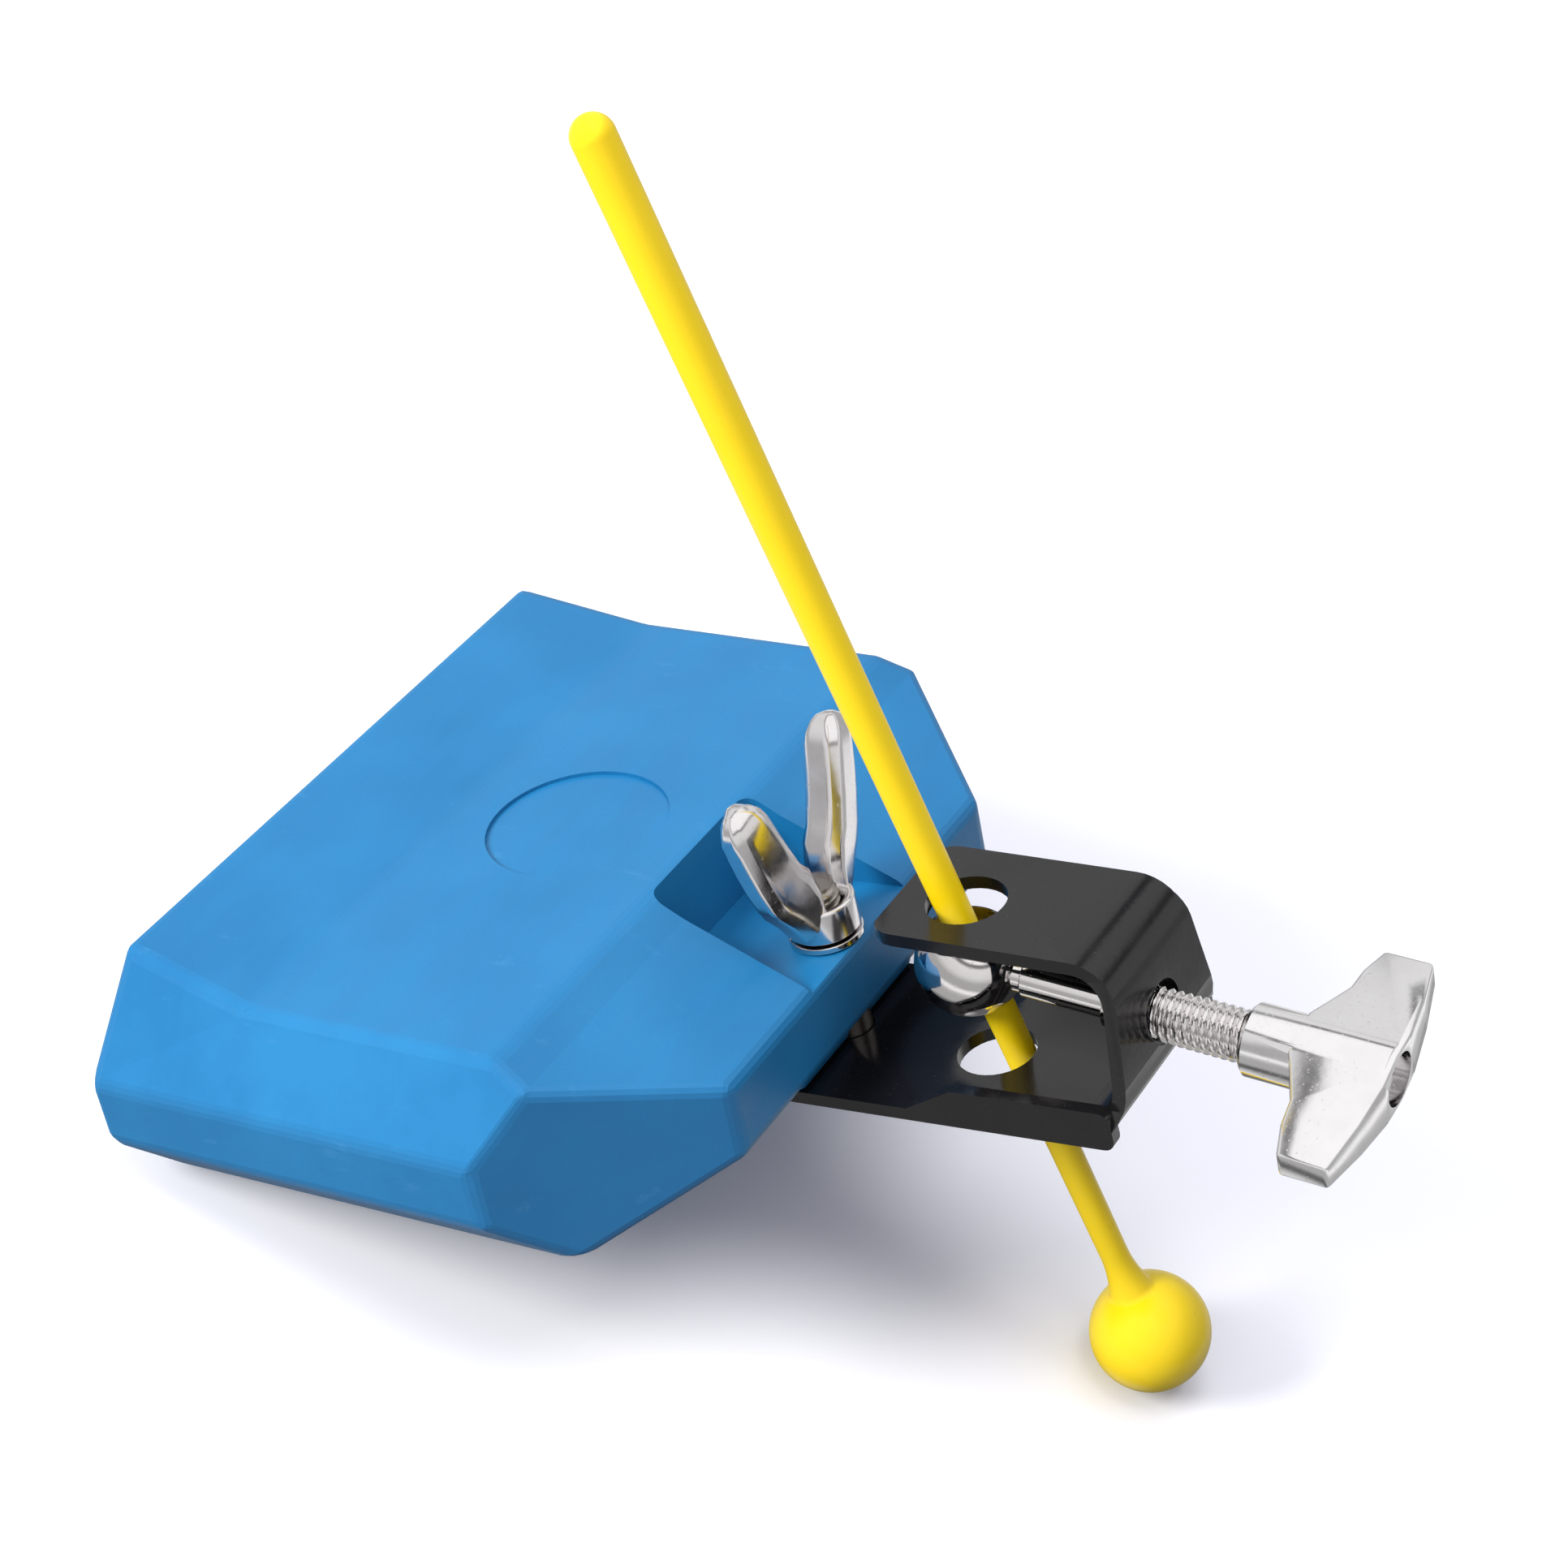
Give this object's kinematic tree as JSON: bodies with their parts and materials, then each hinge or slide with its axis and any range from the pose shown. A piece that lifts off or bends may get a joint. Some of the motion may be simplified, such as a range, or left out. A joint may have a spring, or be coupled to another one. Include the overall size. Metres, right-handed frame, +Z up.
{
  "type": "jam block with clamp and mallet",
  "caption": "Blue moulded jam block with an open front, on a bent black steel clamp with a wing nut, eye bolt and T-handle nut, its yellow mallet stored upright through the clamp.",
  "frame": {"origin": "centre of the bounding box's base, on the surface that the part stands on", "axes": "+Z up, +X towards the clamp and the T-handle nut, +Y across the block; the block leans back on its lower front edge and the mallet's ball"},
  "size_m": [0.2068, 0.156, 0.2147],
  "materials": {
    "blue_plastic": "fine satin, softly rounded edges",
    "black_paint": "gloss black over bent steel strip",
    "chrome": "bright plated",
    "polished_casting": "plated casting, slightly soft",
    "yellow_plastic": "smooth moulded"
  },
  "bodies": {
    "clamped_block": {"block_body": "blue_plastic", "clamp_bracket": "black_paint", "mounting_bolt": "chrome"},
    "washer": {"flat_washer": "chrome"},
    "wing_nut": {"wing_nut": "chrome"},
    "eye_bolt": {"eye_bolt": "chrome"},
    "tee_nut": {"tee_nut": "polished_casting"},
    "mallet": {"mallet": "yellow_plastic"}
  },
  "joints": [
    {"name": "washer_lift", "type": "slide", "parent": "clamped_block", "child": "washer", "axis": [-0.4866, 0, 0.8736], "range_m": [0, 0.00425]},
    {"name": "wing_nut_turn", "type": "hinge", "parent": "washer", "child": "wing_nut", "pos_m": [-0.00058, 0, 0.0696], "axis": [-0.4866, 0, 0.8736], "range_deg": [0, 1080]},
    {"name": "eye_bolt_draw", "type": "slide", "parent": "clamped_block", "child": "eye_bolt", "axis": [0.942, 0, 0.3357], "range_m": [0, 0.0027]},
    {"name": "tee_nut_turn", "type": "hinge", "parent": "clamped_block", "child": "tee_nut", "pos_m": [0.10153, -0.0004, 0.10779], "axis": [-0.942, 0, -0.3357], "range_deg": [0, 600]},
    {"name": "mallet_slide", "type": "slide", "parent": "clamped_block", "child": "mallet", "axis": [-0.6037, -0.0863, 0.7925], "range_m": [-0.008, 0.05]}
  ],
  "couplings": [
    {"joint": "washer_lift", "follows": "wing_nut_turn", "m_per_rad": 0.00022457},
    {"joint": "eye_bolt_draw", "follows": "tee_nut_turn", "m_per_rad": 0.00025266}
  ]
}
